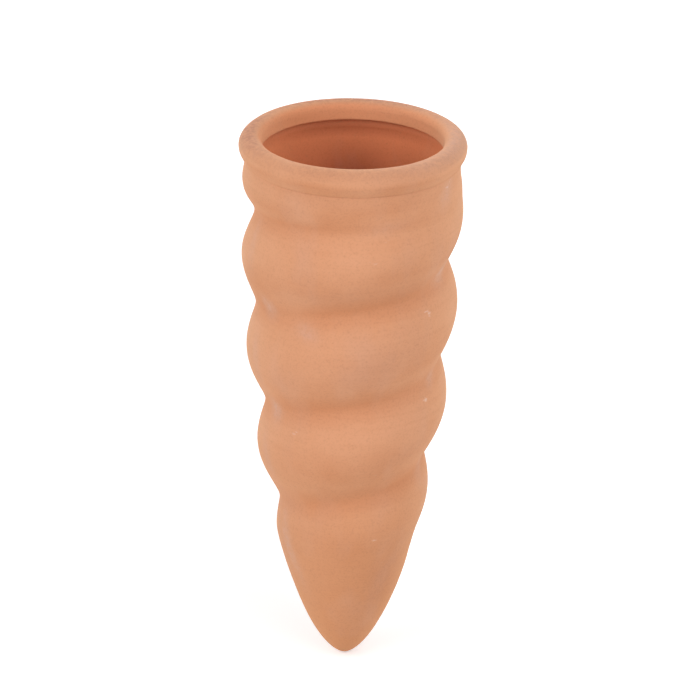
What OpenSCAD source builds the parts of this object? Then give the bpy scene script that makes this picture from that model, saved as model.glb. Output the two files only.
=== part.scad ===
// Self watering spike: a hollow terracotta spike for a plant pot, closed at its point and open at its mouth.
// A collar is luted over the top edge of a cast shell. The shell's outside is wound like a screw.
// Origin: middle of the collar's foot, where the soil comes to. +Z is up, out of the soil.

/* [Overall] */
// Height of the whole spike, from the rim to the point
spike_len = 115; // [90:1:150]
// Diameter of the mouth at its narrowest, which the collar and the shell are sized round
mouth_d = 36; // [28:0.5:60]
// Thickness of the rim, from the mouth to its widest place
rim_wall = 4.5; // [3.6:0.1:8]

/* [Collar] */
// Height of the collar outside, from its foot to the top of the rim
collar_h = 5.1; // [5:0.1:8]
// Depth of the shell's seat below the top of the rim
seat_depth = 3.5; // [3:0.1:4.4]
// Height of the straight band round the rim, with its rounded top edge
band_h = 3; // [3:0.1:4.5]
// Radius of the rim's outer top edge
top_round = 2.4; // [0.6:0.1:2.9]
// Radius of the rim's inner top edge
lip_round = 1.8; // [0.6:0.1:2.2]
// How far the rim stands out past the shell's shoulder
rim_overhang = 1.2; // [0.6:0.1:2.4]
// How far the collar's foot stands proud of the shell's shoulder
foot_proud = 0.3; // [0.1:0.05:0.6]
// Wall of the collar's skirt, where it laps over the shell
skirt_wall = 1.1; // [0.8:0.1:1.4]
// Film of slip between the shell's spigot and the collar
slip_film = 0.05; // [0.02:0.01:0.2]

/* [Shell] */
// How far the crests of the coils stand out past the shoulder under the collar
coil_swell = 0.8; // [0:0.1:1.6]
// Length over which the shoulder swells into the coils
shoulder_len = 5; // [2:0.5:10]
// Wall of the shell at the crest of a coil
wall = 3; // [2:0.1:3.6]
// Solid clay at the point
point_solid = 10; // [6:0.5:20]

/* [Groove] */
// Height that the groove climbs in one turn
groove_pitch = 21.5; // [16:0.5:40]
// Depth of the groove, measured from the crest of a coil
groove_depth = 2.8; // [0.5:0.1:4]
// How far below the rim the groove first passes the +X side
groove_start = 4.1; // [0:0.1:20]

/* [Hidden] */

terracotta = [0.87, 0.61, 0.46];
bloomed_terracotta = [0.85, 0.63, 0.51];

// The crests of the coils lie on a pointed arch, and these two powers set how full it is.
belly_power = 2.6;
point_power = 0.67;
// The point is fuller than the arch by this share, which sets in near the end with this power.
point_fullness_share = 0.17;
fullness_power = 16;
// Roundness of the groove's bottom: 0 is a sharp crease.
groove_soft = 0.17;
// The groove's depth along the spike: share of the spike's height, and share of groove_depth.
groove_depth_shares = [
    [0.05, 0.40], [0.08, 0.40], [0.13, 0.96], [0.22, 1.00], [0.35, 0.86],
    [0.48, 1.00], [0.61, 1.00], [0.71, 0.71], [0.80, 0.09], [0.90, 0.00]
];
// The groove's wander from an even pitch: share of the spike's height, and share of a turn.
groove_wander_shares = [
    [0.04, 0.02], [0.11, -0.05], [0.145, -0.05], [0.235, 0.00],
    [0.39, 0.04], [0.61, 0.04], [0.87, -0.03], [1.00, -0.05]
];
// The inside of the wall follows the groove, with this share of its depth.
inside_follow_share = 0.8;

sides = 64;
outside_rings = 50;
inside_rings = 22;
// How strongly the rings crowd together towards the point, where the outline turns quickly.
ring_crowding = 1.25;
collar_fn = 96;
overrun = 1;

mouth_r = mouth_d / 2;
rim_r = mouth_r + rim_wall;
shoulder_r = rim_r - rim_overhang;
coil_r = shoulder_r + coil_swell;
foot_r = shoulder_r + foot_proud;
rebate_r = foot_r - skirt_wall;
spigot_r = rebate_r - slip_film;
seat_z = collar_h - seat_depth;
cavity_len = spike_len - point_solid;
cavity_top_r = coil_r - wall;

// The two round edges share the rim's wall, so on a thin rim both shrink alike.
round_share = min(1, rim_wall / (top_round + lip_round));
top_edge_r = top_round * round_share;
lip_edge_r = lip_round * round_share;

// Smooth curve through a table of [place, value] rows, level beyond its ends.
function span(at, table) = max([for (i = [0:len(table) - 2]) if (i == 0 || at >= table[i][0]) i]);
function slope(i, table) =
    let (a = max(i - 1, 0), b = min(i + 1, len(table) - 1))
    (table[b][1] - table[a][1]) / (table[b][0] - table[a][0]);
function curve(at, table) =
    let (
        x = min(max(at, table[0][0]), table[len(table) - 1][0]),
        i = span(x, table),
        gap = table[i + 1][0] - table[i][0],
        t = (x - table[i][0]) / gap,
        rise = table[i + 1][1] - table[i][1],
        lead = slope(i, table) * gap - rise,
        lag = rise - slope(i + 1, table) * gap
    )
    table[i][1] + t * rise + t * (1 - t) * ((1 - t) * lead + t * lag);

function smooth_step(t) = let (x = min(max(t, 0), 1)) x * x * (3 - 2 * x);

// The pointed arch: radius at a depth below the rim.
function arch(depth, radius, length) =
    let (share = min(max(depth / length, 0), 1))
    radius * pow(1 - pow(share, belly_power), point_power)
        * (1 + point_fullness_share * pow(share, fullness_power));

// The groove at a depth and an angle: 1 at its bottom, 0 on the crest between two turns.
function turns(depth) =
    (depth - groove_start) / groove_pitch + curve(depth / spike_len, groove_wander_shares);
function groove(depth, angle) =
    let (across = sin(180 * turns(depth) + angle / 2))
    1 - (sqrt(across * across + groove_soft * groove_soft) - groove_soft)
        / (sqrt(1 + groove_soft * groove_soft) - groove_soft);
function groove_cut(depth) = groove_depth * max(0, curve(depth / spike_len, groove_depth_shares));

function coil_surface(depth, angle) =
    arch(depth, coil_r, spike_len) - groove_cut(depth) * groove(depth, angle);
function outside_r(depth, angle) =
    let (swell = smooth_step((depth - collar_h) / shoulder_len))
    shoulder_r * (1 - swell) + coil_surface(depth, angle) * swell;
function inside_r(depth, angle) =
    arch(depth, cavity_top_r, cavity_len)
    - inside_follow_share * groove_cut(depth) * groove(depth, angle)
        * smooth_step((depth - collar_h) / shoulder_len);

function ring_depth(i, count, top, bottom) =
    bottom - (bottom - top) * pow(1 - i / count, ring_crowding);
function ring(radii, depth) = [
    for (k = [0:sides - 1])
        let (angle = 360 * k / sides)
        [radii[k] * cos(angle), radii[k] * sin(angle), collar_h - depth]
];
function even(radius) = [for (k = [0:sides - 1]) radius];
function outside_ring(depth) = ring([for (k = [0:sides - 1]) outside_r(depth, 360 * k / sides)], depth);
function inside_ring(depth) = ring([for (k = [0:sides - 1]) inside_r(depth, 360 * k / sides)], depth);

// The shell's rings, from the bottom of the cavity up the inside, over the spigot and down the outside.
function shell_rings() = concat(
    [for (i = [inside_rings - 1:-1:0]) inside_ring(ring_depth(i, inside_rings, seat_depth, cavity_len))],
    [ring(even(spigot_r), seat_depth), ring(even(spigot_r), collar_h)],
    [for (i = [0:outside_rings - 1]) outside_ring(ring_depth(i, outside_rings, collar_h, spike_len))]
);

module skin(rings, first_pole, last_pole) {
    count = len(rings);
    points = concat([for (one = rings) each one], [first_pole, last_pole]);
    first = count * sides;
    last = first + 1;
    bands = [
        for (i = [0:count - 2], k = [0:sides - 1])
            let (next = (k + 1) % sides, low = i * sides, high = low + sides)
            each [[low + k, high + next, low + next], [low + k, high + k, high + next]]
    ];
    first_cap = [for (k = [0:sides - 1]) [first, k, (k + 1) % sides]];
    last_cap = [for (k = [0:sides - 1]) [last, first - sides + (k + 1) % sides, first - sides + k]];
    polyhedron(points = points, faces = concat(bands, first_cap, last_cap), convexity = 10);
}

// What a round edge of this radius takes off a square corner that points along +X and +Y.
module corner_waste(radius) {
    difference() {
        square(radius + overrun);
        circle(r = radius);
    }
}

module collar_section() {
    difference() {
        polygon([
            [mouth_r, 0], [mouth_r, collar_h], [rim_r, collar_h], [rim_r, collar_h - band_h], [foot_r, 0]
        ]);
        translate([rim_r - top_edge_r, collar_h - top_edge_r]) corner_waste(top_edge_r);
        translate([mouth_r + lip_edge_r, collar_h - lip_edge_r]) mirror([1, 0]) corner_waste(lip_edge_r);
        // rebate for the shell's spigot
        translate([0, -overrun]) square([rebate_r, seat_z + overrun]);
    }
}

module rim_collar() {
    color(bloomed_terracotta) rotate_extrude($fn = collar_fn) collar_section();
}

module spike_shell() {
    color(terracotta)
        skin(shell_rings(), [0, 0, collar_h - cavity_len], [0, 0, collar_h - spike_len]);
}

rim_collar();
spike_shell();
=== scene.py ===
# Self watering spike of unglazed terracotta: the finish of its wound shell and of its mouth's collar.
import math
import bmesh
import bpy
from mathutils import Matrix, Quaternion, Vector, noise


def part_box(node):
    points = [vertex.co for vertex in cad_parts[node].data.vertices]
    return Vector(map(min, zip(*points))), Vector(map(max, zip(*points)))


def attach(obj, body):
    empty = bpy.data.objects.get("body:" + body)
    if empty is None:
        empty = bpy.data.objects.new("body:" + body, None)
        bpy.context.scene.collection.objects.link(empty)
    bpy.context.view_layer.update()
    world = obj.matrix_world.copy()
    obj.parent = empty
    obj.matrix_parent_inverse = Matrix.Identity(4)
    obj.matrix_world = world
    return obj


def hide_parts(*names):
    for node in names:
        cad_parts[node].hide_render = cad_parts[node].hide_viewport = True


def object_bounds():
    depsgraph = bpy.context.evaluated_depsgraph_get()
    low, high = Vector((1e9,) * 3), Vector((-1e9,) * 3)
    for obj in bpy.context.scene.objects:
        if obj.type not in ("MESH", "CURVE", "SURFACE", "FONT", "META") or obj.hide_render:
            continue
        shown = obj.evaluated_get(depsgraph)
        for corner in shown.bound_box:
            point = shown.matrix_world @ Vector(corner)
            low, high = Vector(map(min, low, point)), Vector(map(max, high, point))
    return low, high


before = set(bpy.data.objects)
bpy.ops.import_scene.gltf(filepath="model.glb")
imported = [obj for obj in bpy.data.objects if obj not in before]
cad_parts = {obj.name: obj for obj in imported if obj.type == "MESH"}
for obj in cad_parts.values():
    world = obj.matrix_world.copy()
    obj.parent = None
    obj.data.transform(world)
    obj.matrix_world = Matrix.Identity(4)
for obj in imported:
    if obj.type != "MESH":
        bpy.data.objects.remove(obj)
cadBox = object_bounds()
collarLow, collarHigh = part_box("rim_collar")
shellLow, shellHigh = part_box("spike_shell")
rimTop = collarHigh.z
print("frame loaded: %d nodes, rim at %.1f mm, point at %.1f mm"
      % (len(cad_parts), rimTop * 1000, shellLow.z * 1000))

# Where the collar laps over the shell, in metres. The rim's radius and all heights come from the frame.
lap = {
    "rim overhang": 0.0012,    # past the shell's shoulder
    "foot proud": 0.0003,      # of the shoulder
    "skirt wall": 0.0011,
    "slip film": 0.00005,      # between the collar and the shell's spigot
}
shoulderRadius = collarHigh.x - lap["rim overhang"]
footRadius = shoulderRadius + lap["foot proud"]
rebateRadius = footRadius - lap["skirt wall"]
# Both meshes: how close points are merged, in metres, and how bent an edge stays sharp, in degrees.
meshing = {"merge distance": 0.000001, "sharp angle": 50}


def toLinear(hexColour):
    # an sRGB hex colour as linear red, green and blue, with alpha 1
    parts = [int(hexColour[i:i + 2], 16) / 255 for i in (1, 3, 5)]
    return tuple(c / 12.92 if c <= 0.04045 else ((c + 0.055) / 1.055) ** 2.4 for c in parts) + (1.0,)


def addNode(tree, kind, inputs=None, out=0, **settings):
    # adds a node, sets or links its inputs, and gives back one of its outputs
    node = tree.nodes.new(kind)
    for name, value in settings.items():
        setattr(node, name, value)
    for name, value in (inputs or {}).items():
        if isinstance(value, bpy.types.NodeSocket):
            tree.links.new(value, node.inputs[name])
        else:
            node.inputs[name].default_value = value
    return node.outputs[out] if len(node.outputs) else node


def drawCurve(socket, shares):
    # draws a table of (place, value) rows into a Float Curve, level beyond its ends
    mapping = socket.node.mapping
    mapping.use_clip = False
    mapping.extend = "HORIZONTAL"
    points = mapping.curves[0].points
    points[0].location, points[1].location = shares[0], shares[-1]
    for x, y in shares[1:-1]:
        points.new(x, y)
    mapping.update()
    return socket


# Unglazed terracotta

clayFinish = {
    "shaded clay below": "#DA9A70",    # painted shade: undersides are coloured darker than the tops
    "clay": "#E2A880",
    "clay pale": "#E8B28D",
    "clay deep": "#DA9A6C",
    "ring": "#D2926A",
    # painted shade: the grooves are coloured darker, as if shaded
    "groove": "#D28A5C",
    "throat": "#EE9E6C",        # painted light: the mouth's throat is coloured lighter, as if more light fell on it
    # painted shade: inside the hollow the clay is coloured redder and deeper, as bounced light would make
    # it, and deeper still lower down
    "inside": "#E69264",
    "inside deep": "#A85234",
    "bloom": "#DAB09A",
    "stain": "#BC866C",
    "speck": "#C48660",
    "scuff": "#F0DCCA",
    "sand": "#D4C8C0",          # darkens what lies under it
    # size in metres, detail, and stretch along X, Y and Z, where less than 1 draws the pattern out
    "patterns": {
        "cloud": (0.012, 3.0, (1, 1, 1)),           # the slow change of colour that firing leaves
        "patch": (0.009, 4.0, (1, 1, 0.4)),         # the patches of bloom
        "mottle": (0.0010, 3.0, (1, 1, 1)),         # the spots that a dusty place is broken into
        "wipe": (0.0006, 2.0, (0.03, 0.03, 1)),     # the faint rings left by a wet sponge
        "grain": (0.0004, 2.0, (1, 1, 1)),          # sand is finer, about 0.1 mm, but has to show
        "fleck": (0.0007, 1.0, (1, 1, 1)),          # the darker specks in the clay
        "crumb": (0.0007, 3.0, (0.45, 0.45, 1)),    # what a scuff is broken into
    },
    # what each share follows, the two values between which it sets in, and its least and its most
    "shares": {
        # painted shade: faces turned down keep the darker underside colour, faces turned up take the plain
        # clay
        "above": ("facing up", -0.30, 0.15, 0.0, 1.0),
        "pale": ("cloud", 0.35, 0.65, 0.0, 0.45),
        "nearer point": ("height", -0.055, -0.104, 0.0, 0.95),     # deeper towards the point
        "ringed": ("wipe", 0.45, 0.75, 0.0, 0.16),
        "sandy": ("grain", 0.48, 0.78, 0.0, 0.26),
        # painted shade, strongest at the bottom of each groove
        "grooved": ("groove", 0.50, 1.0, 0.0, 0.40),
        "sunk": ("height", -0.0015, -0.0120, 0.0, 0.35),    # painted shade, darker deeper down inside
        "patchy": ("patch", 0.50, 0.72, 0.0, 1.0),
        "mottled": ("mottle", 0.38, 0.60, 0.58, 1.0),
        "specked": ("fleck", 0.68, 0.80, 0.0, 0.22),
        "rough": ("grain", 0.0, 1.0, 0.98, 0.86),
    },
    # how much of each piece's patches of bloom shows
    "bloom most": {"castTerracotta": 0.22, "spongedTerracotta": 0.20},
    "grain height": 0.00003,    # metres
    "scuff strength": 0.75,
    "scuff edge": 0.22,         # 0 is a hard edge
    # dry clay hardly shines, and its dust catches light that grazes it
    "specular level": 0.25,
    "diffuse roughness": 1.0,
    "sheen": 0.06,
    "sheen roughness": 0.6,
    "sheen tint": "#F2DDD0",
}


def unglazedTerracotta(name):
    # Low-fired clay, cast or pressed and wiped with a wet sponge. It is matt and looks soft and sandy, a
    # little paler and pinker where dust and salts have bloomed, and deeper towards its point. Painted shade
    # darkens its undersides, its grooves and its hollow, painted light brightens its throat, and painted
    # highlight lies along its sides as seen from the front.
    finish = clayFinish
    material = bpy.data.materials.new(name)
    material.use_nodes = True
    tree = material.node_tree
    tree.nodes.clear()
    place = addNode(tree, "ShaderNodeTexCoord", out="Object")
    facing = addNode(tree, "ShaderNodeNewGeometry", out="Normal")
    found = {
        "height": addNode(tree, "ShaderNodeSeparateXYZ", {"Vector": place}, out="Z"),
        "facing up": addNode(tree, "ShaderNodeSeparateXYZ", {"Vector": facing}, out="Z"),
    }
    # a mark that a mesh doesn't carry counts as 0
    for mark in ("groove", "throat", "inside", "back shade", "dust and edge light", "stained", "rubbed"):
        found[mark] = addNode(tree, "ShaderNodeAttribute", attribute_name=mark, out="Fac")
    for pattern, (size, detail, stretch) in finish["patterns"].items():
        drawn = addNode(tree, "ShaderNodeVectorMath", {0: place, 1: stretch}, operation="MULTIPLY")
        found[pattern] = addNode(tree, "ShaderNodeTexNoise",
                                 {"Vector": drawn, "Scale": 1 / size, "Detail": detail})
    for share, (follows, low, high, least, most) in finish["shares"].items():
        found[share] = addNode(tree, "ShaderNodeMapRange", {
            "Value": found[follows], "From Min": low, "From Max": high, "To Min": least, "To Max": most})
    # painted shade deepens the inside, down the hollow and at its back; bloom comes in patches, and dust
    # and stains where the mesh says, broken up into spots, the dust on the shell's sides also painted
    # highlight
    found["bloom most"] = finish["bloom most"][name]
    for share, first, second, operation in (
            ("deep or back shade", "sunk", "back shade", "MAXIMUM"),
            ("inside deep", "deep or back shade", "inside", "MULTIPLY"),
            ("patches", "patchy", "bloom most", "MULTIPLY"),
            ("dust and edge light spots", "dust and edge light", "mottled", "MULTIPLY"),
            ("bloomed", "patches", "dust and edge light spots", "MAXIMUM"),
            ("spotted", "stained", "mottled", "MULTIPLY")):
        found[share] = addNode(tree, "ShaderNodeMath", {0: found[first], 1: found[second]},
                               operation=operation)
    # a rub shows through the crumbs of the surface as a broken pale mark
    rubStart = addNode(tree, "ShaderNodeMath", {0: 1.0, 1: found["rubbed"]}, operation="SUBTRACT")
    rubEnd = addNode(tree, "ShaderNodeMath", {0: rubStart, 1: finish["scuff edge"]}, operation="ADD")
    found["scuffed"] = addNode(tree, "ShaderNodeMapRange", {
        "Value": found["crumb"], "From Min": rubStart, "From Max": rubEnd,
        "To Max": finish["scuff strength"]})

    # each colour is laid over what is there already, by its share; the underside, groove and inside colours
    # are painted shade, and the throat's colour is painted light
    colour = toLinear(finish["shaded clay below"])
    for share, layer in (
            ("above", "clay"), ("pale", "clay pale"), ("nearer point", "clay deep"), ("ringed", "ring"),
            ("grooved", "groove"), ("throat", "throat"), ("inside", "inside"),
            ("inside deep", "inside deep"), ("bloomed", "bloom"), ("spotted", "stain"),
            ("specked", "speck"), ("scuffed", "scuff")):
        colour = addNode(tree, "ShaderNodeMix",
                         {0: found[share], 6: colour, 7: toLinear(finish[layer])},
                         out=2, data_type="RGBA")
    colour = addNode(tree, "ShaderNodeMix",
                     {0: found["sandy"], 6: colour, 7: toLinear(finish["sand"])},
                     out=2, data_type="RGBA", blend_type="MULTIPLY")
    bump = addNode(tree, "ShaderNodeBump",
                   {"Height": found["grain"], "Distance": finish["grain height"]})
    shader = addNode(tree, "ShaderNodeBsdfPrincipled", {
        "Base Color": colour, "Roughness": found["rough"], "Normal": bump,
        "Diffuse Roughness": finish["diffuse roughness"],
        "Specular IOR Level": finish["specular level"],
        "Sheen Weight": finish["sheen"], "Sheen Roughness": finish["sheen roughness"],
        "Sheen Tint": toLinear(finish["sheen tint"])})
    addNode(tree, "ShaderNodeOutputMaterial", {"Surface": shader})
    return material


# The wound shell

# In metres. The rim's top, the collar's foot, the seat and the point come from the frame.
shellSizes = {
    "Height": rimTop - shellLow.z,
    "Collar Height": rimTop - collarLow.z,
    "Seat Depth": rimTop - shellHigh.z,
    "Shoulder Radius": shoulderRadius,
    "Spigot Radius": rebateRadius - lap["slip film"],
    "Coil Swell": 0.0008,      # of the crests past the shoulder, just under the collar
    "Shoulder Length": 0.005,  # over which the plain shoulder swells into the coils
    "Wall": 0.003,
    "Solid Point": 0.010,
    "Belly Power": 2.6,        # how long the shell stays full
    "Point Power": 0.67,       # how blunt its point is
    "Point Fullness": 0.17,    # share by which the very end is fuller than that
    "Fullness Power": 16.0,    # how suddenly that sets in
    "Groove Pitch": 0.0215,
    "Groove Depth": 0.0028,
    "Groove Start": 0.0041,    # below the rim, where the groove first passes +X
    "Groove Softness": 0.17,   # 0 is a sharp crease
    "Inside Follow": 0.8,      # share of the groove's depth that shows inside
    "Ring Crowding": 1.25,     # of the mesh's rings towards the point
    "Unevenness": 0.00026,     # slow waves that a hand-filled mould leaves
    "Wave Size": 0.014,
    "Wave Detail": 2.0,        # finer waves on the slow ones, and on the wipe marks below
    "Wipe Marks": 0.000014,    # fine rings left by wiping the clay round
    "Wipe Spacing": 0.0011,
    "Wipe Stretch": 0.12,      # how far the rings are drawn out round the axis: 0 is full rings
    "Clear Length": 0.003,     # below the collar, over which the unevenness sets in
    "Seed": 4.0,
}
shellCounts = {"Around": 256, "Outside Rings": 270, "Inside Rings": 60, "Spigot Rings": 3}

# The groove along the spike: share of the height, and share of the groove's depth.
grooveDepthShares = [
    (0.05, 0.40), (0.08, 0.40), (0.13, 0.96), (0.22, 1.00), (0.35, 0.86),
    (0.48, 1.00), (0.61, 1.00), (0.71, 0.71), (0.80, 0.09), (0.90, 0.00),
]
# How far the groove strays from an even pitch: share of the height, and share of a turn.
grooveWanderShares = [
    (0.04, 0.02), (0.11, -0.05), (0.145, -0.05), (0.235, 0.00),
    (0.39, 0.04), (0.61, 0.04), (0.87, -0.03), (1.00, -0.05),
]

# Marks on the shell: degrees round from the front, towards the right; mm below the rim; mm long; mm wide;
# degrees that the long side is turned from level; strength.
# Dust. The rows from 56 to 70 degrees to either side of the front lie along the sides seen from the front,
# and are also painted highlight there.
dustAndEdgeLight = [
    (-56, 32.6, 4.6, 3.8, -45, 0.75), (-57, 55.6, 4.8, 3.8, -50, 0.75), (-56, 86, 17.0, 3.6, -80, 0.60),
    (-66, 20, 11.0, 3.0, -85, 0.35), (-64, 44, 11.0, 3.0, -85, 0.35), (-62, 66, 11.0, 3.0, -80, 0.35),
    (66, 25.6, 6.0, 5.0, 70, 0.70), (63, 48.6, 4.0, 2.6, 60, 0.60), (60, 8, 6.0, 4.0, 60, 0.55),
    (-25, 35, 5.0, 3.2, -20, 0.50), (70, 70, 7.0, 3.0, 75, 0.45), (20, 12, 9.0, 3.0, 10, 0.25),
    (140, 30, 8.0, 3.6, 20, 0.5), (205, 52, 9.0, 3.6, -30, 0.5), (165, 75, 12.0, 4.0, 70, 0.4),
]
stains = [
    (24, 40, 15.0, 7.0, 15, 0.16), (36, 26, 12.0, 5.0, 20, 0.14), (-10, 27, 24.0, 4.0, 5, 0.14),
    (42, 62, 14.0, 5.0, 20, 0.14), (42, 92, 22.0, 8.0, 75, 0.28), (-14, 6.5, 18.0, 3.0, 0, 0.14),
    (150, 46, 18.0, 7.0, 15, 0.18), (215, 30, 16.0, 6.0, 10, 0.16), (190, 80, 16.0, 6.0, 60, 0.16),
]
rubs = [
    (18, 15, 9.0, 4.0, 10, 0.46), (14, 18.5, 8.0, 3.6, -5, 0.48), (49, 32, 3.4, 2.6, 20, 0.62),
    (55, 52, 2.4, 1.8, 30, 0.70), (22, 82, 3.4, 1.2, 0, 0.57), (33, 88, 3.0, 1.4, 60, 0.50),
    (-36, 58, 3.0, 2.0, 0, 0.52), (16, 66, 6.0, 3.0, 0, 0.47), (61, 6.5, 4.0, 2.6, 30, 0.54),
    (125, 44, 4.2, 2.0, 25, 0.58), (190, 22, 5.0, 2.2, -20, 0.52), (232, 66, 3.6, 1.6, 40, 0.58),
]
# Painted shade inside the hollow: a darker place low at the back, and a thin painted shadow at the back
# just under the throat's edge. The same rows as above.
backShadePatches = [(180, 19.5, 16.0, 17.0, 0, 1.0), (180, 4.8, 30.0, 3.0, 0, 0.85)]
markReach = 2   # how many of its lengths from its middle a mark can still show


def addGroove(tree, depth, angle, given):
    # the groove's share of its full depth, and its depth in metres
    share = addNode(tree, "ShaderNodeMath", {0: depth, 1: given["Height"]}, operation="DIVIDE")
    wander = drawCurve(addNode(tree, "ShaderNodeFloatCurve", {"Value": share}), grooveWanderShares)
    below = addNode(tree, "ShaderNodeMath", {0: depth, 1: given["Groove Start"]}, operation="SUBTRACT")
    even = addNode(tree, "ShaderNodeMath", {0: below, 1: given["Groove Pitch"]}, operation="DIVIDE")
    turns = addNode(tree, "ShaderNodeMath", {0: even, 1: wander}, operation="ADD")
    halfAngle = addNode(tree, "ShaderNodeMath", {0: angle, 1: 0.5}, operation="MULTIPLY")
    phase = addNode(tree, "ShaderNodeMath", {0: turns, 1: math.pi, 2: halfAngle},
                    operation="MULTIPLY_ADD")
    across = addNode(tree, "ShaderNodeMath", {0: phase}, operation="SINE")
    # a V with a rounded bottom: 0 in the groove, 1 on the crest
    soft = given["Groove Softness"]
    softSquare = addNode(tree, "ShaderNodeMath", {0: soft, 1: soft}, operation="MULTIPLY")
    square = addNode(tree, "ShaderNodeMath", {0: across, 1: across, 2: softSquare},
                     operation="MULTIPLY_ADD")
    root = addNode(tree, "ShaderNodeMath", {0: square}, operation="SQRT")
    rise = addNode(tree, "ShaderNodeMath", {0: root, 1: soft}, operation="SUBTRACT")
    crestSquare = addNode(tree, "ShaderNodeMath", {0: softSquare, 1: 1.0}, operation="ADD")
    crestRoot = addNode(tree, "ShaderNodeMath", {0: crestSquare}, operation="SQRT")
    crestRise = addNode(tree, "ShaderNodeMath", {0: crestRoot, 1: soft}, operation="SUBTRACT")
    height = addNode(tree, "ShaderNodeMath", {0: rise, 1: crestRise}, operation="DIVIDE")
    groove = addNode(tree, "ShaderNodeMath", {0: 1.0, 1: height}, operation="SUBTRACT")
    depthShare = drawCurve(addNode(tree, "ShaderNodeFloatCurve", {"Value": share}), grooveDepthShares)
    shown = addNode(tree, "ShaderNodeMath", {0: groove, 1: depthShare}, operation="MULTIPLY")
    cut = addNode(tree, "ShaderNodeMath", {0: shown, 1: given["Groove Depth"]}, operation="MULTIPLY")
    return shown, cut


def addArch(tree, depth, radius, length, given):
    # the pointed arch that the crests lie on
    share = addNode(tree, "ShaderNodeMath", {0: depth, 1: length}, operation="DIVIDE", use_clamp=True)
    fall = addNode(tree, "ShaderNodeMath", {0: share, 1: given["Belly Power"]}, operation="POWER")
    left = addNode(tree, "ShaderNodeMath", {0: 1.0, 1: fall}, operation="SUBTRACT", use_clamp=True)
    arch = addNode(tree, "ShaderNodeMath", {0: left, 1: given["Point Power"]}, operation="POWER")
    late = addNode(tree, "ShaderNodeMath", {0: share, 1: given["Fullness Power"]}, operation="POWER")
    full = addNode(tree, "ShaderNodeMath", {0: late, 1: given["Point Fullness"], 2: 1.0},
                   operation="MULTIPLY_ADD")
    shape = addNode(tree, "ShaderNodeMath", {0: arch, 1: full}, operation="MULTIPLY")
    return addNode(tree, "ShaderNodeMath", {0: shape, 1: radius}, operation="MULTIPLY")


def addSwell(tree, depth, given):
    # 0 at the collar's foot, where the shoulder is plain, and 1 where the coils are full
    foot = given["Collar Height"]
    end = addNode(tree, "ShaderNodeMath", {0: foot, 1: given["Shoulder Length"]}, operation="ADD")
    return addNode(tree, "ShaderNodeMapRange", {"Value": depth, "From Min": foot, "From Max": end},
                   interpolation_type="SMOOTHSTEP")


def addGrid(tree, around, rings):
    # a flat grid whose X will run round the spike and whose Y will run along it, each from 0 to 1
    columns = addNode(tree, "ShaderNodeMath", {0: around, 1: 1.0}, operation="ADD")
    rows = addNode(tree, "ShaderNodeMath", {0: rings, 1: 1.0}, operation="ADD")
    grid = addNode(tree, "GeometryNodeMeshGrid",
                   {"Size X": 1.0, "Size Y": 1.0, "Vertices X": columns, "Vertices Y": rows})
    place = addNode(tree, "GeometryNodeInputPosition")
    moved = addNode(tree, "ShaderNodeVectorMath", {0: place, 1: (0.5, 0.5, 0.0)}, operation="ADD")
    split = addNode(tree, "ShaderNodeSeparateXYZ", {"Vector": moved}).node
    angle = addNode(tree, "ShaderNodeMath", {0: split.outputs["X"], 1: math.tau}, operation="MULTIPLY")
    return grid, angle, split.outputs["Y"]


def addDepth(tree, along, top, bottom, given):
    # how far each ring lies below the rim, crowding together towards the bottom
    left = addNode(tree, "ShaderNodeMath", {0: 1.0, 1: along}, operation="SUBTRACT", use_clamp=True)
    share = addNode(tree, "ShaderNodeMath", {0: left, 1: given["Ring Crowding"]}, operation="POWER")
    span = addNode(tree, "ShaderNodeMath", {0: bottom, 1: top}, operation="SUBTRACT")
    rise = addNode(tree, "ShaderNodeMath", {0: span, 1: share}, operation="MULTIPLY")
    return addNode(tree, "ShaderNodeMath", {0: bottom, 1: rise}, operation="SUBTRACT")


def wrapGrid(tree, grid, angle, radius, depth, groove, inside):
    # rolls a flat grid up round the axis; the clay's colour follows the two values stored on its points
    grooved = addNode(tree, "GeometryNodeStoreNamedAttribute",
                      {"Geometry": grid, "Name": "groove", "Value": groove}, data_type="FLOAT")
    sided = addNode(tree, "GeometryNodeStoreNamedAttribute",
                    {"Geometry": grooved, "Name": "inside", "Value": inside}, data_type="FLOAT")
    cosine = addNode(tree, "ShaderNodeMath", {0: angle}, operation="COSINE")
    sine = addNode(tree, "ShaderNodeMath", {0: angle}, operation="SINE")
    x = addNode(tree, "ShaderNodeMath", {0: cosine, 1: radius}, operation="MULTIPLY")
    y = addNode(tree, "ShaderNodeMath", {0: sine, 1: radius}, operation="MULTIPLY")
    z = addNode(tree, "ShaderNodeMath", {0: rimTop, 1: depth}, operation="SUBTRACT")
    place = addNode(tree, "ShaderNodeCombineXYZ", {"X": x, "Y": y, "Z": z})
    return addNode(tree, "GeometryNodeSetPosition", {"Geometry": sided, "Position": place})


def addOutside(tree, coilRadius, given):
    grid, angle, along = addGrid(tree, given["Around"], given["Outside Rings"])
    depth = addDepth(tree, along, given["Collar Height"], given["Height"], given)
    shown, cut = addGroove(tree, depth, angle, given)
    crest = addArch(tree, depth, coilRadius, given["Height"], given)
    coil = addNode(tree, "ShaderNodeMath", {0: crest, 1: cut}, operation="SUBTRACT")
    swell = addSwell(tree, depth, given)
    radius = addNode(tree, "ShaderNodeMix", {"Factor": swell, "A": given["Shoulder Radius"], "B": coil})
    return wrapGrid(tree, grid, angle, radius, depth, shown, 0.0)


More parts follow.
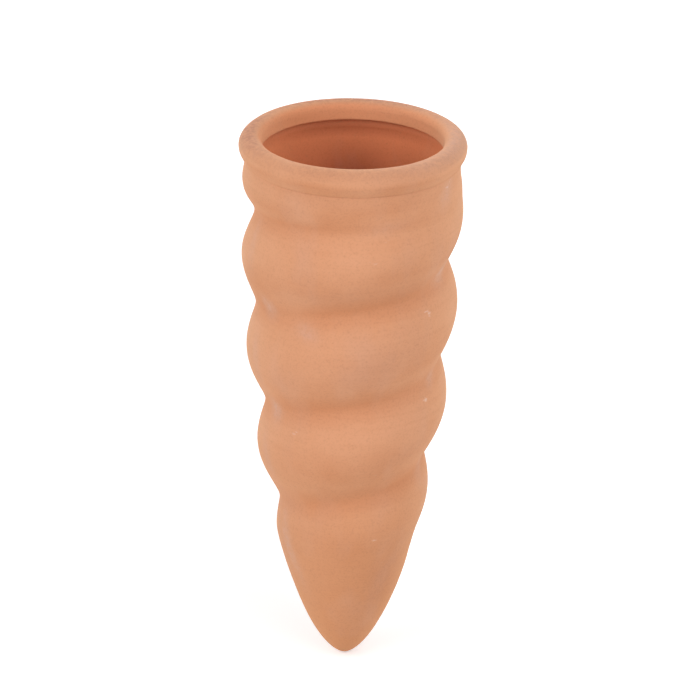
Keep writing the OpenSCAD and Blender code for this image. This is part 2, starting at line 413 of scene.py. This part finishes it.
def addInside(tree, cavityTop, cavity, given):
    grid, angle, along = addGrid(tree, given["Around"], given["Inside Rings"])
    depth = addDepth(tree, along, given["Seat Depth"], cavity, given)
    shown, cut = addGroove(tree, depth, angle, given)
    wall = addArch(tree, depth, cavityTop, cavity, given)
    followed = addNode(tree, "ShaderNodeMath", {0: cut, 1: given["Inside Follow"]}, operation="MULTIPLY")
    swelled = addNode(tree, "ShaderNodeMath", {0: followed, 1: addSwell(tree, depth, given)},
                      operation="MULTIPLY")
    radius = addNode(tree, "ShaderNodeMath", {0: wall, 1: swelled}, operation="SUBTRACT")
    return wrapGrid(tree, grid, angle, radius, depth, shown, 1.0)


def addSpigot(tree, cavityTop, cavity, given):
    # hidden under the collar, in three steps: out over the seat, down the spigot, and out to the shoulder
    grid, angle, along = addGrid(tree, given["Around"], given["Spigot Rings"])
    # the ring's number, 0 to 3: it has taken a step once it is past the half before that step's number
    step = addNode(tree, "ShaderNodeMath", {0: along, 1: given["Spigot Rings"]}, operation="MULTIPLY")
    outOfMouth = addNode(tree, "ShaderNodeMath", {0: step, 1: 0.5}, operation="GREATER_THAN")
    downSpigot = addNode(tree, "ShaderNodeMath", {0: step, 1: 1.5}, operation="GREATER_THAN")
    outToShoulder = addNode(tree, "ShaderNodeMath", {0: step, 1: 2.5}, operation="GREATER_THAN")
    mouth = addArch(tree, given["Seat Depth"], cavityTop, cavity, given)
    spigot = addNode(tree, "ShaderNodeMix", {"Factor": outOfMouth, "A": mouth, "B": given["Spigot Radius"]})
    radius = addNode(tree, "ShaderNodeMix",
                     {"Factor": outToShoulder, "A": spigot, "B": given["Shoulder Radius"]})
    depth = addNode(tree, "ShaderNodeMix",
                    {"Factor": downSpigot, "A": given["Seat Depth"], "B": given["Collar Height"]})
    return wrapGrid(tree, grid, angle, radius, depth, 0.0, 0.0)


def addWaves(tree, place, size, given):
    # seeded noise from -0.5 to 0.5, in waves of the given size
    scale = addNode(tree, "ShaderNodeMath", {0: 1.0, 1: size}, operation="DIVIDE")
    wave = addNode(tree, "ShaderNodeTexNoise",
                   {"Vector": place, "W": given["Seed"], "Scale": scale, "Detail": given["Wave Detail"]},
                   noise_dimensions="4D")
    return addNode(tree, "ShaderNodeMath", {0: wave, 1: 0.5}, operation="SUBTRACT")


def addUnevenness(tree, shape, given):
    place = addNode(tree, "GeometryNodeInputPosition")
    stretch = given["Wipe Stretch"]
    stretches = addNode(tree, "ShaderNodeCombineXYZ", {"X": stretch, "Y": stretch, "Z": 1.0})
    flat = addNode(tree, "ShaderNodeVectorMath", {0: place, 1: stretches}, operation="MULTIPLY")
    wave = addWaves(tree, place, given["Wave Size"], given)
    wipe = addWaves(tree, flat, given["Wipe Spacing"], given)
    waveOut = addNode(tree, "ShaderNodeMath", {0: wave, 1: given["Unevenness"]}, operation="MULTIPLY")
    both = addNode(tree, "ShaderNodeMath", {0: wipe, 1: given["Wipe Marks"], 2: waveOut},
                   operation="MULTIPLY_ADD")
    height = addNode(tree, "ShaderNodeSeparateXYZ", {"Vector": place}, out="Z")
    # the shoulder stays true where the collar's foot meets it
    clear = addNode(tree, "ShaderNodeMath", {0: collarLow.z, 1: given["Clear Length"]},
                    operation="SUBTRACT")
    free = addNode(tree, "ShaderNodeMapRange",
                   {"Value": height, "From Min": collarLow.z, "From Max": clear})
    out = addNode(tree, "ShaderNodeMath", {0: both, 1: free}, operation="MULTIPLY")
    normal = addNode(tree, "GeometryNodeInputNormal")
    offset = addNode(tree, "ShaderNodeVectorMath", {0: normal, "Scale": out}, operation="SCALE")
    return addNode(tree, "GeometryNodeSetPosition", {"Geometry": shape, "Offset": offset})


def buildShellTree(material):
    tree = bpy.data.node_groups.new("woundShell", "GeometryNodeTree")
    tree.interface.new_socket(name="Geometry", in_out="OUTPUT", socket_type="NodeSocketGeometry")
    for name in shellSizes:
        tree.interface.new_socket(name=name, in_out="INPUT", socket_type="NodeSocketFloat")
    for name in shellCounts:
        tree.interface.new_socket(name=name, in_out="INPUT", socket_type="NodeSocketInt")
    group = addNode(tree, "NodeGroupInput").node
    given = {socket.name: socket for socket in group.outputs if socket.name}
    coilRadius = addNode(tree, "ShaderNodeMath", {0: given["Shoulder Radius"], 1: given["Coil Swell"]},
                         operation="ADD")
    # how far down the hollow goes, and its radius at the top
    cavity = addNode(tree, "ShaderNodeMath", {0: given["Height"], 1: given["Solid Point"]},
                     operation="SUBTRACT")
    cavityTop = addNode(tree, "ShaderNodeMath", {0: coilRadius, 1: given["Wall"]}, operation="SUBTRACT")
    sheets = (
        addOutside(tree, coilRadius, given),
        addInside(tree, cavityTop, cavity, given),
        addSpigot(tree, cavityTop, cavity, given),
    )
    joined = addNode(tree, "GeometryNodeJoinGeometry")
    for sheet in sheets:
        tree.links.new(sheet, joined.node.inputs[0])
    closed = addNode(tree, "GeometryNodeMergeByDistance",
                     {"Geometry": joined, "Distance": meshing["merge distance"]})
    uneven = addUnevenness(tree, closed, given)
    real = addNode(tree, "GeometryNodeRealizeInstances", {"Geometry": uneven})
    done = addNode(tree, "GeometryNodeSetMaterial", {"Geometry": real, "Material": material})
    addNode(tree, "NodeGroupOutput", {0: done})
    return tree


def markShare(place, marks):
    # how strongly the nearest of the marks shows at a place on the shell, fading out from its middle
    angle = math.atan2(place.x, -place.y)
    radius = place.xy.length
    shown = 0.0
    for turn, depth, length, width, tilt, strength in marks:
        away = (angle - math.radians(turn) + math.pi) % math.tau - math.pi
        across, up = away * radius * 1000, (place.z - rimTop) * 1000 + depth
        if abs(across) + abs(up) > markReach * length:
            continue
        cosine, sine = math.cos(math.radians(tilt)), math.sin(math.radians(tilt))
        along = (across * cosine + up * sine) / (length / 2)
        aside = (up * cosine - across * sine) / (width / 2)
        shown = max(shown, strength * math.exp(-along * along - aside * aside))
    return shown


def storeMarks(mesh):
    inside = [value.value > 0.5 for value in mesh.attributes["inside"].data]
    # dust, with painted highlight on the shell's sides, stains and rubs outside, and painted shade inside
    for name, marks, isInside in (
            ("dust and edge light", dustAndEdgeLight, False), ("stained", stains, False), ("rubbed", rubs, False),
            ("back shade", backShadePatches, True)):
        shares = [markShare(v.co, marks) if inside[i] == isInside else 0.0
                  for i, v in enumerate(mesh.vertices)]
        mesh.attributes.new(name, "FLOAT", "POINT").data.foreach_set("value", shares)


def finishMesh(mesh, name, material):
    # merges what coincides, turns the faces outwards and shades them smooth, but for real edges
    work = bmesh.new()
    work.from_mesh(mesh)
    bmesh.ops.remove_doubles(work, verts=work.verts, dist=meshing["merge distance"])
    bmesh.ops.recalc_face_normals(work, faces=work.faces)
    work.to_mesh(mesh)
    work.free()
    mesh.polygons.foreach_set("use_smooth", [True] * len(mesh.polygons))
    mesh.set_sharp_from_angle(angle=math.radians(meshing["sharp angle"]))
    mesh.materials.clear()
    mesh.materials.append(material)
    mesh.update()
    piece = bpy.data.objects.new(name, mesh)
    bpy.context.scene.collection.objects.link(piece)
    return piece


def makeShell(material):
    carrier = bpy.data.objects.new("shellCarrier", bpy.data.meshes.new("shellCarrier"))
    bpy.context.scene.collection.objects.link(carrier)
    winding = carrier.modifiers.new("winding", "NODES")
    winding.node_group = buildShellTree(material)
    items = winding.node_group.interface.items_tree
    sockets = {item.name: item.identifier for item in items if item.in_out == "INPUT"}
    for name, value in {**shellSizes, **shellCounts}.items():
        winding[sockets[name]] = value
    bpy.context.view_layer.update()
    evaluated = carrier.evaluated_get(bpy.context.evaluated_depsgraph_get())
    mesh = bpy.data.meshes.new_from_object(evaluated)
    carrier.modifiers.remove(winding)
    bpy.data.objects.remove(carrier)
    shell = finishMesh(mesh, "woundShell", material)
    storeMarks(mesh)
    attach(shell, "root")
    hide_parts("spike_shell")
    print("wound shell: %d faces" % len(mesh.polygons))


# The collar round the mouth

# In metres. The rim's radius and top, the foot and the seat come from the frame.
collarSizes = {
    "rim radius": collarHigh.x,
    "mouth radius": 0.018,
    "top": rimTop,
    "foot": collarLow.z,
    "seat": shellHigh.z,
    "band height": 0.0030,
    "outer round": 0.0024,
    "lip round": 0.0018,
    "throat round": 0.0004,
    "bead drop": 0.0003,       # of the slip squeezed out below the seat, which ends the throat
    "bead reach": 0.0010,      # outwards from the mouth
    "band round": 0.0028,
    "foot radius": footRadius,
    "foot round": 0.0003,
    "rebate radius": rebateRadius,
    "unevenness": 0.00010,     # the same waves and rings as on the shell
    "wave size": 0.012,
    "wave octaves": 3,
    "wipe marks": 0.000025,
    "wipe spacing": 0.0012,
    "wipe stretch": 0.15,
    "wipe octaves": 2,
    "clear height": 0.0005,    # above the foot, which stays true to the shell's shoulder
    "throat light share": 0.45,      # how strongly the painted light in the throat shows
    "throat from": 0.60,       # share of the lip's width at which it starts, and at which it is full
    "throat to": 0.20,
    "around": 288,
    # how many steps the mesh takes over each stretch of the outline
    "steps": {
        "throat": 6, "bore": 4, "lip": 16, "outer": 22, "band": 5, "taper": 8, "foot": 5, "rebate": 4,
    },
}
# Where the rim's top is dusty or stained: degrees round from the front, towards the right; degrees to each
# side over which it fades; strength.
rimDust = [(85, 40, 0.90), (45, 25, 0.45), (150, 30, 0.40)]
rimStains = [(0, 360, 0.40), (-92, 46, 1.0), (-20, 45, 0.46), (180, 65, 1.0)]


def arc(centre, radius, start, end, steps):
    # points round a centre, from one angle to another, in degrees; 0 is outwards and 90 is up
    turns = [math.radians(start + (end - start) * i / steps) for i in range(steps + 1)]
    return [(centre[0] + radius * math.cos(t), centre[1] + radius * math.sin(t)) for t in turns]


def straight(start, end, steps):
    # the points between two ends, without the ends
    shares = [i / steps for i in range(1, steps)]
    return [(start[0] + (end[0] - start[0]) * t, start[1] + (end[1] - start[1]) * t) for t in shares]


def collarOutline(given):
    # (radius, height) from the ledge over the shell's seat, up the throat, over the rim, down to the foot
    throat, lip, outer = given["throat round"], given["lip round"], given["outer round"]
    band, foot = given["band round"], given["foot round"]
    mouth, rim, rebate = given["mouth radius"], given["rim radius"], given["rebate radius"]
    top, seat, low = given["top"], given["seat"], given["foot"]
    steps = given["steps"]
    bandLow = top - given["band height"]
    taper = math.degrees(math.atan2(rim - given["foot radius"], bandLow - low))
    ledge, heel = (rebate, seat), (rebate, low)
    points = [ledge, (mouth + given["bead reach"], seat)]
    points += arc((mouth + throat, seat - given["bead drop"] + throat), throat, 270, 180, steps["throat"])
    points += straight(points[-1], (mouth, top - lip), steps["bore"])
    points += arc((mouth + lip, top - lip), lip, 180, 90, steps["lip"])
    points += arc((rim - outer, top - outer), outer, 90, 0, steps["outer"])
    # the band's lower edge is eased into the taper
    bandCentre = (rim - band, bandLow + band * math.tan(math.radians(taper / 2)))
    points += arc(bandCentre, band, 0, -taper, steps["band"])
    points += straight(points[-1], (given["foot radius"], low + foot), steps["taper"])
    points += arc((given["foot radius"] - foot, low + foot), foot, -taper, -90, steps["foot"])
    points += [heel]
    points += straight(heel, ledge, steps["rebate"])
    return points


def throatLightShare(radius, given):
    # painted light: full in the throat, fading out over the rounded lip
    past = (radius - given["mouth radius"]) / given["lip round"]
    shown = (given["throat from"] - past) / (given["throat from"] - given["throat to"])
    return given["throat light share"] * min(1.0, max(0.0, shown))


def markedShare(angle, marks):
    # how strongly the rim is marked at a place round it; the angle is from +X, and the front is at -Y
    turned = math.degrees(angle) + 90
    strongest = 0.0
    for middle, reach, strength in marks:
        away = (turned - middle + 180) % 360 - 180
        strongest = max(strongest, strength * math.exp(-(away / reach) ** 2))
    return strongest


def crownShare(radius, height, given):
    # full on the rim's top, fading out down both of its rounded edges
    risen = (height - given["top"]) / given["outer round"] + 1
    past = (radius - given["mouth radius"]) / given["lip round"]
    into = (past - given["throat to"]) / (1 - given["throat to"])
    return min(1.0, max(0.0, risen)) * min(1.0, max(0.0, into))


def clayWaves(place, size, octaves):
    # each octave is half as wide and half as high as the last
    return noise.fractal(place / size, 1.0, 2.0, octaves)


def makeCollar(material):
    given = collarSizes
    outline = collarOutline(given)
    count, around = len(outline), given["around"]
    stretch = given["wipe stretch"]
    verts, faces = [], []
    marks = {"throat": [], "dust and edge light": [], "stained": []}
    for k in range(around):
        angle = math.tau * k / around
        outwards = Vector((math.cos(angle), math.sin(angle), 0))
        dust, stain = markedShare(angle, rimDust), markedShare(angle, rimStains)
        for radius, height in outline:
            place = outwards * radius + Vector((0, 0, height))
            if height > given["foot"] + given["clear height"]:
                wave = clayWaves(place, given["wave size"], given["wave octaves"])
                flat = Vector((place.x * stretch, place.y * stretch, place.z))
                wipe = clayWaves(flat, given["wipe spacing"], given["wipe octaves"])
                place += outwards * (given["unevenness"] * wave + given["wipe marks"] * wipe)
            verts.append(place)
            crown = crownShare(radius, height, given)
            # painted light in the throat, less where the rim is dusty
            marks["throat"].append(throatLightShare(radius, given) * (1 - dust))
            marks["dust and edge light"].append(dust * crown)
            marks["stained"].append(stain * crown)
    for k in range(around):
        low, high = k * count, (k + 1) % around * count
        faces += [(low + i, low + (i + 1) % count, high + (i + 1) % count, high + i) for i in range(count)]
    mesh = bpy.data.meshes.new("mouthCollar")
    mesh.from_pydata(verts, [], faces)
    for name, shares in marks.items():
        mesh.attributes.new(name, "FLOAT", "POINT").data.foreach_set("value", shares)
    collar = finishMesh(mesh, "mouthCollar", material)
    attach(collar, "root")
    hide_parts("rim_collar")
    print("mouth collar: %d faces" % len(mesh.polygons))


# The studio

studio = {
    "view distance": 0.744,
    "view rise": 24.60,        # degrees above level
    "aim height": (rimTop + shellLow.z) / 2,
    "roll": 1.03,              # degrees, because the spike leans a little in the picture
    "lens": 188.87,            # mm, on a sensor of the width below
    "sensor": 36,
    "clip start": 0.01,
    "clip end": 20,
    "picture side": 700,       # pixels
    "aim pixel": (348.55, 400.2),   # where the point that is aimed at lands, from the picture's top left
    "floor side": 8.0,
    "floor colour": "#F2F2F2",
    "floor roughness": 0.9,
    "near glow": 0.42,         # of the floor round the point, low enough to keep its shadow
    "far glow": 0.95,          # of the floor where the lamps don't reach
    "near reach": 0.25,        # metres away up to which the first holds
    "far reach": 1.2,          # metres away from which the second holds
    "sky level": 0.315,        # of the light that it gives the spike; it looks white itself
}
# Degrees round from the camera, towards the right; degrees up; metres away; metres across; watts.
lamps = {
    "keyLamp": (-58, 31, 1.6, 1.2, 11.5),
    "frontLamp": (26, 30, 1.6, 1.2, 6.2),
    "highLamp": (45, 60, 1.6, 1.2, 4.7),
    "fillLamp": (62, 30, 1.6, 1.2, 2.4),
    "leftBackLamp": (-145, 15, 1.6, 1.2, 6.0),
    "rightBackLamp": (145, 15, 1.6, 1.2, 3.3),
}


def addSeen(tree):
    # 1 for what the camera sees itself, in gloss or through glass, and 0 for the light on the spike
    paths = addNode(tree, "ShaderNodeLightPath").node
    seen = paths.outputs["Is Camera Ray"]
    for other in ("Is Glossy Ray", "Is Transmission Ray"):
        seen = addNode(tree, "ShaderNodeMath", {0: seen, 1: paths.outputs[other]}, operation="MAXIMUM")
    return seen


def paleFloor():
    # matt white board: it looks white, and keeps the shadow under the point
    material = bpy.data.materials.new("paleFloor")
    material.use_nodes = True
    tree = material.node_tree
    tree.nodes.clear()
    place = addNode(tree, "ShaderNodeTexCoord", out="Object")
    away = addNode(tree, "ShaderNodeVectorMath", {0: place}, out="Value", operation="LENGTH")
    level = addNode(tree, "ShaderNodeMapRange", {
        "Value": away, "From Min": studio["near reach"], "From Max": studio["far reach"],
        "To Min": studio["near glow"], "To Max": studio["far glow"]})
    glow = addNode(tree, "ShaderNodeMath", {0: addSeen(tree), 1: level}, operation="MULTIPLY")
    shader = addNode(tree, "ShaderNodeBsdfPrincipled", {
        "Base Color": toLinear(studio["floor colour"]), "Roughness": studio["floor roughness"],
        "Specular IOR Level": 0.0, "Emission Color": (1, 1, 1, 1), "Emission Strength": glow})
    addNode(tree, "ShaderNodeOutputMaterial", {"Surface": shader})
    return material


def makeFloor():
    half = studio["floor side"] / 2
    corners = [(-half, -half), (half, -half), (half, half), (-half, half)]
    mesh = bpy.data.meshes.new("floor")
    mesh.from_pydata([(x, y, cadBox[0].z) for x, y in corners], [], [(0, 1, 2, 3)])
    mesh.materials.append(paleFloor())
    floor = bpy.data.objects.new("floor", mesh)
    bpy.context.scene.collection.objects.link(floor)


def makeSky():
    world = bpy.data.worlds.new("softSky")
    bpy.context.scene.world = world
    world.use_nodes = True
    tree = world.node_tree
    tree.nodes.clear()
    level = addNode(tree, "ShaderNodeMix", {"Factor": addSeen(tree), "A": studio["sky level"], "B": 1.0})
    sky = addNode(tree, "ShaderNodeBackground", {"Color": (1, 1, 1, 1), "Strength": level})
    addNode(tree, "ShaderNodeOutputWorld", {"Surface": sky})


def makeLamp(name, turn, rise, away, size, power):
    turn, rise = math.radians(turn), math.radians(rise)
    aim = Vector((0, 0, studio["aim height"]))
    toLamp = Vector((math.sin(turn) * math.cos(rise), -math.cos(turn) * math.cos(rise), math.sin(rise)))
    data = bpy.data.lights.new(name, "AREA")
    data.shape = "DISK"
    data.size = size
    data.energy = power
    lamp = bpy.data.objects.new(name, data)
    lamp.location = aim + away * toLamp
    lamp.rotation_mode = "QUATERNION"
    lamp.rotation_quaternion = (-toLamp).to_track_quat("-Z", "Y")
    bpy.context.scene.collection.objects.link(lamp)


def makeCamera():
    aim = Vector((0, 0, studio["aim height"]))
    rise = math.radians(studio["view rise"])
    place = aim + studio["view distance"] * Vector((0, -math.cos(rise), math.sin(rise)))
    # the aimed point lands a little off the picture's middle, so the camera is turned and not shifted
    focal = studio["lens"] / studio["sensor"] * studio["picture side"]
    middle = studio["picture side"] / 2
    aimX, aimY = studio["aim pixel"]
    right = math.atan((middle - aimX) / focal)
    up = math.atan((aimY - middle) / focal)
    turn = (aim - place).to_track_quat("-Z", "Y")
    turn = turn @ Quaternion((0, 0, 1), math.radians(studio["roll"]))
    turn = turn @ Quaternion((1, 0, 0), up) @ Quaternion((0, 1, 0), -right)
    data = bpy.data.cameras.new("camera")
    data.lens = studio["lens"]
    data.sensor_width = studio["sensor"]
    data.clip_start = studio["clip start"]
    data.clip_end = studio["clip end"]
    camera = bpy.data.objects.new("camera", data)
    camera.location = place
    camera.rotation_mode = "QUATERNION"
    camera.rotation_quaternion = turn
    bpy.context.scene.collection.objects.link(camera)
    bpy.context.scene.camera = camera


bpy.context.scene.view_settings.view_transform = "Standard"
makeCamera()
makeFloor()
makeSky()
for lampName, lampPlace in lamps.items():
    makeLamp(lampName, *lampPlace)
print("studio ready")
makeShell(unglazedTerracotta("castTerracotta"))
makeCollar(unglazedTerracotta("spongedTerracotta"))
